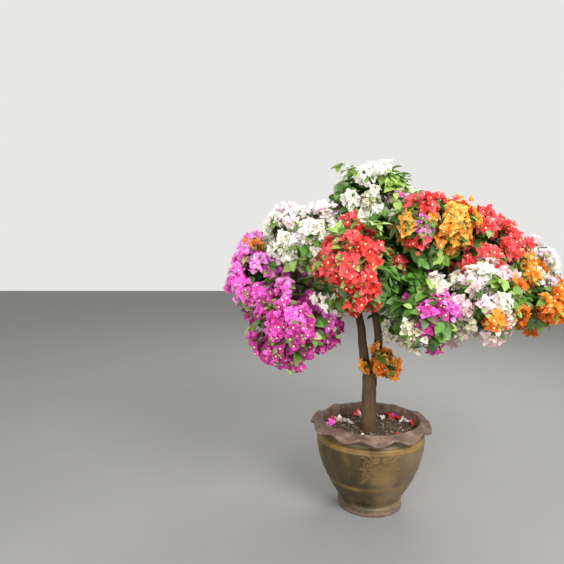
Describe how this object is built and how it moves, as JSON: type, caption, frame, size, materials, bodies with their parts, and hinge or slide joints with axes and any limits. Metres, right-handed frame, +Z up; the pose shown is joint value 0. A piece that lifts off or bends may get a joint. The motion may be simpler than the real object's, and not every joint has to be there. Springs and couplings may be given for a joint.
{
  "type": "potted bougainvillea bush",
  "caption": "Bougainvillea grown as a small tree in a glazed pot with a wavy clay flange: straight trunk, two boughs, and a broad crown of bracts in several colours.",
  "frame": {"origin": "middle of the pot's flat underside", "axes": "+Z up along the trunk, -Y towards the side that the picture shows, +X to its right"},
  "size_m": [1.6034, 1.2737, 1.6834],
  "materials": {
    "glazed_pot": "olive brown ash glaze on the body, bare clay on the flange, worn",
    "soil": "moist potting soil, loose and matte",
    "bark": "rough grey brown bark",
    "leaves": "smooth green leaves",
    "bracts_white": "papery cream white bracts",
    "bracts_blush": "papery blush white bracts",
    "bracts_magenta": "papery magenta bracts",
    "bracts_red": "papery red bracts",
    "bracts_orange": "papery orange bracts"
  },
  "bodies": {
    "root": {"pot": "glazed_pot", "soil": "soil", "trunk": "bark", "bough_left": "bark", "bough_right": "bark", "limb_left_flank": "bark", "limb_left_skirt": "bark", "limb_front_fall": "bark", "limb_right_crest": "bark", "limb_right_shoulder": "bark", "limb_right_tip": "bark", "limb_right_flank": "bark", "limb_right_skirt": "bark", "limb_front_skirt": "bark", "limb_back_left_flank": "bark", "limb_back_left_skirt": "bark", "limb_back_crest": "bark", "limb_back_fall": "bark", "limb_back_right_flank": "bark", "limb_back_right_skirt": "bark", "limb_inner_sprig": "bark", "mass_crown_top": "bracts_white", "mass_left_shoulder": "bracts_blush", "mass_left_flank": "bracts_magenta", "mass_left_skirt": "bracts_magenta", "mass_front_fall": "bracts_red", "mass_right_crest": "bracts_orange", "mass_right_shoulder": "bracts_red", "mass_right_tip": "bracts_blush", "mass_right_flank": "bracts_orange", "mass_right_skirt": "bracts_blush", "mass_front_skirt": "bracts_magenta", "mass_heart": "leaves", "mass_back_left_flank": "bracts_white", "mass_back_left_skirt": "bracts_orange", "mass_back_crest": "bracts_magenta", "mass_back_fall": "bracts_red", "mass_back_right_flank": "bracts_magenta", "mass_back_right_skirt": "bracts_white", "mass_fork_sprig": "bracts_orange", "mass_inner_sprig": "bracts_blush"}
  },
  "joints": []
}
